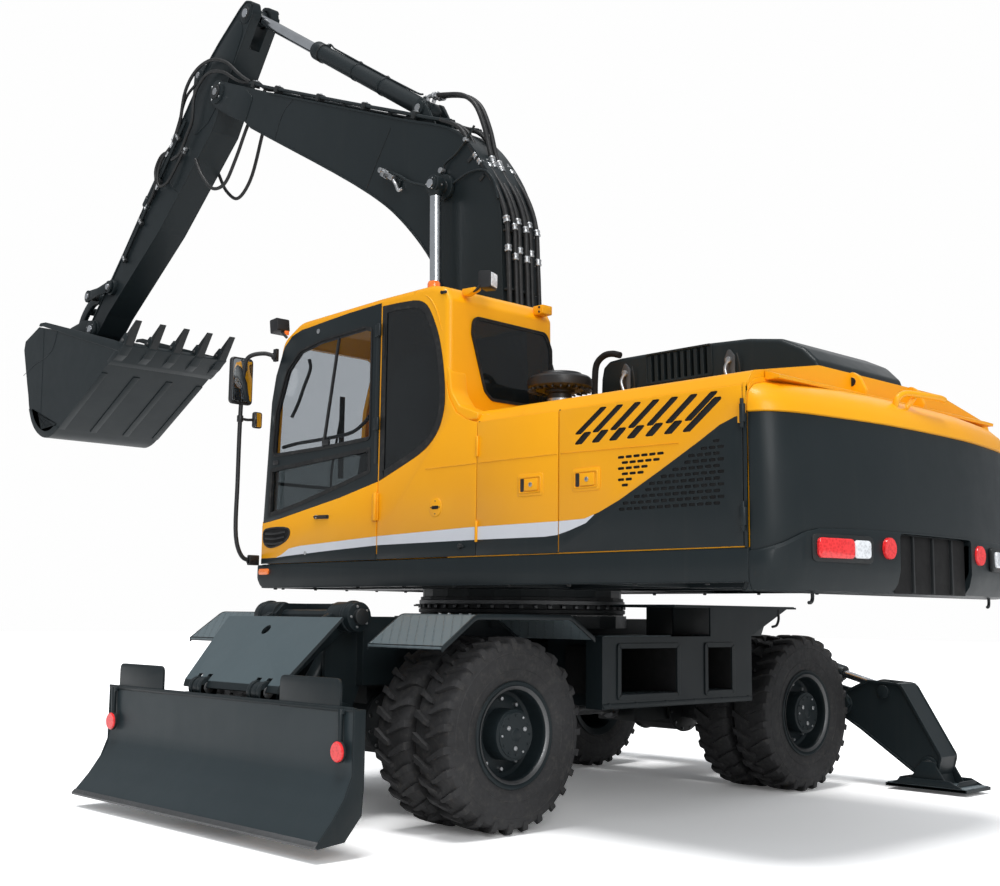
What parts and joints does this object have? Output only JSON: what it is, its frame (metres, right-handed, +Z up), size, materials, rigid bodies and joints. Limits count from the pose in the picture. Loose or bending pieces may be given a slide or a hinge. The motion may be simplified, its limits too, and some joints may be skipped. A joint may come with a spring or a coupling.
{
  "type": "wheeled excavator",
  "caption": "Wheeled excavator with mono boom, arm and bucket, twin tyres, front dozer blade, rear outriggers and a left-hand cab, slewed a quarter turn.",
  "frame": {"origin": "on the ground, under the middle of the whole machine's footprint as it stands with the boom across the carrier", "axes": "+Z up; +X towards the dozer blade, the front of the carrier; +Y towards the left side of the carrier; the boom and bucket point at -Y and the counterweight at +Y"},
  "size_m": [5.032, 10.037, 6.7612],
  "materials": {
    "dark_paint": "semi-gloss dark slate paint",
    "yellow_paint": "gloss yellow-orange paint",
    "tyre": "matte",
    "rod_chrome": "polished",
    "seat_cloth": "woven",
    "black_plastic": "matte",
    "cast_metal": "rough"
  },
  "bodies": {
    "chassis": {"chassis_frame": "dark_paint", "swing_bearing": "cast_metal", "front_axle": "dark_paint", "rear_axle": "dark_paint", "left_step_box": "dark_paint", "right_step_box": "dark_paint", "left_front_fender": "dark_paint", "right_front_fender": "dark_paint"},
    "left_knuckle": {"left_knuckle": "dark_paint"},
    "front_left_wheel": {"front_left_tyres": "tyre", "front_left_rims": "dark_paint"},
    "rear_left_wheel": {"rear_left_tyres": "tyre", "rear_left_rims": "dark_paint"},
    "right_knuckle": {"right_knuckle": "dark_paint"},
    "front_right_wheel": {"front_right_tyres": "tyre", "front_right_rims": "dark_paint"},
    "rear_right_wheel": {"rear_right_tyres": "tyre", "rear_right_rims": "dark_paint"},
    "blade_link": {"blade_upper_link": "dark_paint"},
    "blade_arm": {"blade_lower_arm": "dark_paint"},
    "blade": {"dozer_blade": "dark_paint"},
    "left_blade_cylinder_barrel": {"left_blade_cylinder_barrel": "dark_paint"},
    "left_blade_cylinder_rod": {"left_blade_cylinder_rod": "rod_chrome"},
    "right_blade_cylinder_barrel": {"right_blade_cylinder_barrel": "dark_paint"},
    "right_blade_cylinder_rod": {"right_blade_cylinder_rod": "rod_chrome"},
    "left_outrigger": {"left_outrigger_leg": "dark_paint"},
    "left_outrigger_cylinder_barrel": {"left_outrigger_cylinder_barrel": "dark_paint"},
    "left_outrigger_cylinder_rod": {"left_outrigger_cylinder_rod": "rod_chrome"},
    "right_outrigger": {"right_outrigger_leg": "dark_paint"},
    "right_outrigger_cylinder_barrel": {"right_outrigger_cylinder_barrel": "dark_paint"},
    "right_outrigger_cylinder_rod": {"right_outrigger_cylinder_rod": "rod_chrome"},
    "upper_structure": {"upper_frame": "dark_paint", "counterweight": "dark_paint", "engine_bay_frame": "yellow_paint", "engine_block": "cast_metal", "right_tank_body": "yellow_paint", "cab_shell": "yellow_paint", "operator_seat": "seat_cloth", "left_mirror": "black_plastic", "right_mirror": "black_plastic", "pre_cleaner": "black_plastic"},
    "cab_door": {"cab_door": "dark_paint"},
    "engine_hood": {"engine_hood": "dark_paint"},
    "left_service_door": {"left_service_door": "yellow_paint"},
    "left_radiator_door": {"left_radiator_door": "dark_paint"},
    "right_pump_door": {"right_pump_door": "dark_paint"},
    "boom": {"boom": "dark_paint"},
    "left_boom_cylinder_barrel": {"left_boom_cylinder_barrel": "dark_paint"},
    "left_boom_cylinder_rod": {"left_boom_cylinder_rod": "rod_chrome"},
    "right_boom_cylinder_barrel": {"right_boom_cylinder_barrel": "dark_paint"},
    "right_boom_cylinder_rod": {"right_boom_cylinder_rod": "rod_chrome"},
    "arm": {"arm": "dark_paint"},
    "arm_cylinder_barrel": {"arm_cylinder_barrel": "dark_paint"},
    "arm_cylinder_rod": {"arm_cylinder_rod": "rod_chrome"},
    "bucket": {"bucket": "dark_paint"},
    "rocker": {"rocker_link": "dark_paint"},
    "push_link": {"push_link": "dark_paint"},
    "bucket_cylinder_barrel": {"bucket_cylinder_barrel": "dark_paint"},
    "bucket_cylinder_rod": {"bucket_cylinder_rod": "rod_chrome"}
  },
  "joints": [
    {"name": "left_steering", "type": "hinge", "parent": "chassis", "child": "left_knuckle", "pos_m": [1.204, 2.5185, 0.527], "axis": [0, 0, 1], "range_deg": [-30, 30]},
    {"name": "front_left_wheel_spin", "type": "hinge", "parent": "left_knuckle", "child": "front_left_wheel", "pos_m": [1.204, 2.9155, 0.527], "axis": [0, 1, 0], "continuous": true},
    {"name": "rear_left_wheel_spin", "type": "hinge", "parent": "chassis", "child": "rear_left_wheel", "pos_m": [-1.596, 2.9155, 0.527], "axis": [0, 1, 0], "continuous": true},
    {"name": "right_steering", "type": "hinge", "parent": "chassis", "child": "right_knuckle", "pos_m": [1.204, 1.3985, 0.527], "axis": [0, 0, 1], "range_deg": [-31, 31]},
    {"name": "front_right_wheel_spin", "type": "hinge", "parent": "right_knuckle", "child": "front_right_wheel", "pos_m": [1.204, 1.0015, 0.527], "axis": [0, 1, 0], "continuous": true},
    {"name": "rear_right_wheel_spin", "type": "hinge", "parent": "chassis", "child": "rear_right_wheel", "pos_m": [-1.596, 1.0015, 0.527], "axis": [0, 1, 0], "continuous": true},
    {"name": "blade_lift", "type": "hinge", "parent": "chassis", "child": "blade_link", "pos_m": [1.684, 1.9585, 1.15], "axis": [0, -1, 0], "range_deg": [-22, 40]},
    {"name": "blade_level", "type": "hinge", "parent": "blade_link", "child": "blade", "pos_m": [2.204, 1.9585, 0.74], "axis": [0, -1, 0], "range_deg": [-41, 23]},
    {"name": "blade_arm_pivot", "type": "hinge", "parent": "chassis", "child": "blade_arm", "pos_m": [1.674, 1.9585, 0.6], "axis": [0, -1, 0], "range_deg": [-23, 41]},
    {"name": "left_blade_cylinder_pivot", "type": "hinge", "parent": "chassis", "child": "left_blade_cylinder_barrel", "pos_m": [1.634, 2.1085, 0.985], "axis": [0, -1, 0], "range_deg": [-12.81, 22.83]},
    {"name": "left_blade_cylinder_stroke", "type": "slide", "parent": "left_blade_cylinder_barrel", "child": "left_blade_cylinder_rod", "axis": [0.5517, 0, -0.8341], "range_m": [-0.1533, 0.0857]},
    {"name": "right_blade_cylinder_pivot", "type": "hinge", "parent": "chassis", "child": "right_blade_cylinder_barrel", "pos_m": [1.634, 1.8085, 0.985], "axis": [0, -1, 0], "range_deg": [-12.81, 22.83]},
    {"name": "right_blade_cylinder_stroke", "type": "slide", "parent": "right_blade_cylinder_barrel", "child": "right_blade_cylinder_rod", "axis": [0.5517, 0, -0.8341], "range_m": [-0.1533, 0.0857]},
    {"name": "left_outrigger_swing", "type": "hinge", "parent": "chassis", "child": "left_outrigger", "pos_m": [-2.346, 3.0885, 0.56], "axis": [1, 0, 0], "range_deg": [-8, 60]},
    {"name": "left_outrigger_cylinder_pivot", "type": "hinge", "parent": "chassis", "child": "left_outrigger_cylinder_barrel", "pos_m": [-2.346, 2.5585, 0.9], "axis": [1, 0, 0], "range_deg": [-2.72, 16.7]},
    {"name": "left_outrigger_cylinder_stroke", "type": "slide", "parent": "left_outrigger_cylinder_barrel", "child": "left_outrigger_cylinder_rod", "axis": [0, 0.9658, -0.2593], "range_m": [-0.2726, 0.0389]},
    {"name": "right_outrigger_swing", "type": "hinge", "parent": "chassis", "child": "right_outrigger", "pos_m": [-2.346, 0.8285, 0.56], "axis": [-1, 0, 0], "range_deg": [-8, 60]},
    {"name": "right_outrigger_cylinder_pivot", "type": "hinge", "parent": "chassis", "child": "right_outrigger_cylinder_barrel", "pos_m": [-2.346, 1.3585, 0.9], "axis": [-1, 0, 0], "range_deg": [-2.72, 16.7]},
    {"name": "right_outrigger_cylinder_stroke", "type": "slide", "parent": "right_outrigger_cylinder_barrel", "child": "right_outrigger_cylinder_rod", "axis": [0, -0.9658, -0.2593], "range_m": [-0.2726, 0.0389]},
    {"name": "swing", "type": "hinge", "parent": "chassis", "child": "upper_structure", "pos_m": [-0.066, 1.9585, 1.228], "axis": [0, 0, 1], "continuous": true},
    {"name": "cab_door_hinge", "type": "hinge", "parent": "upper_structure", "child": "cab_door", "pos_m": [1.206, 1.9385, 2.325], "axis": [0, 0, 1], "range_deg": [0, 160]},
    {"name": "engine_hood_hinge", "type": "hinge", "parent": "upper_structure", "child": "engine_hood", "pos_m": [-0.51, 3.8085, 2.472], "axis": [0, -1, 0], "range_deg": [0, 75]},
    {"name": "left_service_door_hinge", "type": "hinge", "parent": "upper_structure", "child": "left_service_door", "pos_m": [1.206, 2.8545, 1.885], "axis": [0, 0, 1], "range_deg": [-100, 0]},
    {"name": "left_radiator_door_hinge", "type": "hinge", "parent": "upper_structure", "child": "left_radiator_door", "pos_m": [1.206, 4.7125, 1.885], "axis": [0, 0, 1], "range_deg": [0, 100]},
    {"name": "right_pump_door_hinge", "type": "hinge", "parent": "upper_structure", "child": "right_pump_door", "pos_m": [-1.338, 4.7125, 1.885], "axis": [0, 0, -1], "range_deg": [0, 100]},
    {"name": "boom_lift", "type": "hinge", "parent": "upper_structure", "child": "boom", "pos_m": [-0.066, 1.9285, 1.875], "axis": [-1, 0, 0], "range_deg": [-80, 15]},
    {"name": "left_boom_cylinder_pivot", "type": "hinge", "parent": "upper_structure", "child": "left_boom_cylinder_barrel", "pos_m": [0.206, 1.3685, 1.56], "axis": [-1, 0, 0], "range_deg": [-81.71, 15.78]},
    {"name": "left_boom_cylinder_stroke", "type": "slide", "parent": "left_boom_cylinder_barrel", "child": "left_boom_cylinder_rod", "axis": [0, -0.0271, 0.9996], "range_m": [-0.8437, 0.1606]},
    {"name": "right_boom_cylinder_pivot", "type": "hinge", "parent": "upper_structure", "child": "right_boom_cylinder_barrel", "pos_m": [-0.338, 1.3685, 1.56], "axis": [-1, 0, 0], "range_deg": [-81.71, 15.78]},
    {"name": "right_boom_cylinder_stroke", "type": "slide", "parent": "right_boom_cylinder_barrel", "child": "right_boom_cylinder_rod", "axis": [0, -0.0271, 0.9996], "range_m": [-0.8437, 0.1606]},
    {"name": "arm_swing", "type": "hinge", "parent": "boom", "child": "arm", "pos_m": [-0.066, -1.9815, 5.985], "axis": [1, 0, 0], "range_deg": [-45, 60]},
    {"name": "arm_cylinder_pivot", "type": "hinge", "parent": "boom", "child": "arm_cylinder_barrel", "pos_m": [-0.066, 0.8965, 5.037], "axis": [1, 0, 0], "range_deg": [-2.05, 2.54]},
    {"name": "arm_cylinder_stroke", "type": "slide", "parent": "arm_cylinder_barrel", "child": "arm_cylinder_rod", "axis": [0, -0.8402, 0.5423], "range_m": [-0.5492, 0.7312]},
    {"name": "bucket_curl", "type": "hinge", "parent": "arm", "child": "bucket", "pos_m": [-0.066, -4.2915, 4.07], "axis": [1, 0, 0], "range_deg": [-110, 8]},
    {"name": "rocker_pivot", "type": "hinge", "parent": "arm", "child": "rocker", "pos_m": [-0.066, -3.89318, 4.45217], "axis": [1, 0, 0], "range_deg": [-111.77, 8.66]},
    {"name": "push_link_pivot", "type": "hinge", "parent": "bucket", "child": "push_link", "pos_m": [-0.066, -4.7315, 4.08], "axis": [1, 0, 0], "range_deg": [-9.07, 117.43]},
    {"name": "bucket_cylinder_pivot", "type": "hinge", "parent": "arm", "child": "bucket_cylinder_barrel", "pos_m": [-0.066, -2.44481, 6.30884], "axis": [1, 0, 0], "range_deg": [-3.1, 0.76]},
    {"name": "bucket_cylinder_stroke", "type": "slide", "parent": "bucket_cylinder_barrel", "child": "bucket_cylinder_rod", "axis": [0, -0.7076, -0.7066], "range_m": [-0.7567, 0.0578]}
  ],
  "couplings": [
    {"joint": "right_steering", "follows": "left_steering", "ratio": 1},
    {"joint": "blade_level", "follows": "blade_lift", "ratio": -1},
    {"joint": "blade_arm_pivot", "follows": "blade_lift", "ratio": 1},
    {"joint": "left_blade_cylinder_pivot", "follows": "blade_lift", "ratio": 0.55637},
    {"joint": "left_blade_cylinder_stroke", "follows": "blade_lift", "m_per_rad": -0.2153},
    {"joint": "right_blade_cylinder_pivot", "follows": "blade_lift", "ratio": 0.55637},
    {"joint": "right_blade_cylinder_stroke", "follows": "blade_lift", "m_per_rad": -0.2153},
    {"joint": "left_outrigger_cylinder_pivot", "follows": "left_outrigger_swing", "ratio": 0.2688},
    {"joint": "left_outrigger_cylinder_stroke", "follows": "left_outrigger_swing", "m_per_rad": -0.25747},
    {"joint": "right_outrigger_cylinder_pivot", "follows": "right_outrigger_swing", "ratio": 0.2688},
    {"joint": "right_outrigger_cylinder_stroke", "follows": "right_outrigger_swing", "m_per_rad": -0.25747},
    {"joint": "left_boom_cylinder_pivot", "follows": "boom_lift", "ratio": 1.0142},
    {"joint": "left_boom_cylinder_stroke", "follows": "boom_lift", "m_per_rad": 0.6021},
    {"joint": "right_boom_cylinder_pivot", "follows": "boom_lift", "ratio": 1.0142},
    {"joint": "right_boom_cylinder_stroke", "follows": "boom_lift", "m_per_rad": 0.6021},
    {"joint": "arm_cylinder_pivot", "follows": "arm_swing", "ratio": 0.03283},
    {"joint": "arm_cylinder_stroke", "follows": "arm_swing", "m_per_rad": 0.69542},
    {"joint": "rocker_pivot", "follows": "bucket_curl", "ratio": 1.0109},
    {"joint": "push_link_pivot", "follows": "bucket_curl", "ratio": -1.0623},
    {"joint": "bucket_cylinder_pivot", "follows": "bucket_curl", "ratio": 0.02298},
    {"joint": "bucket_cylinder_stroke", "follows": "bucket_curl", "m_per_rad": 0.39259}
  ]
}
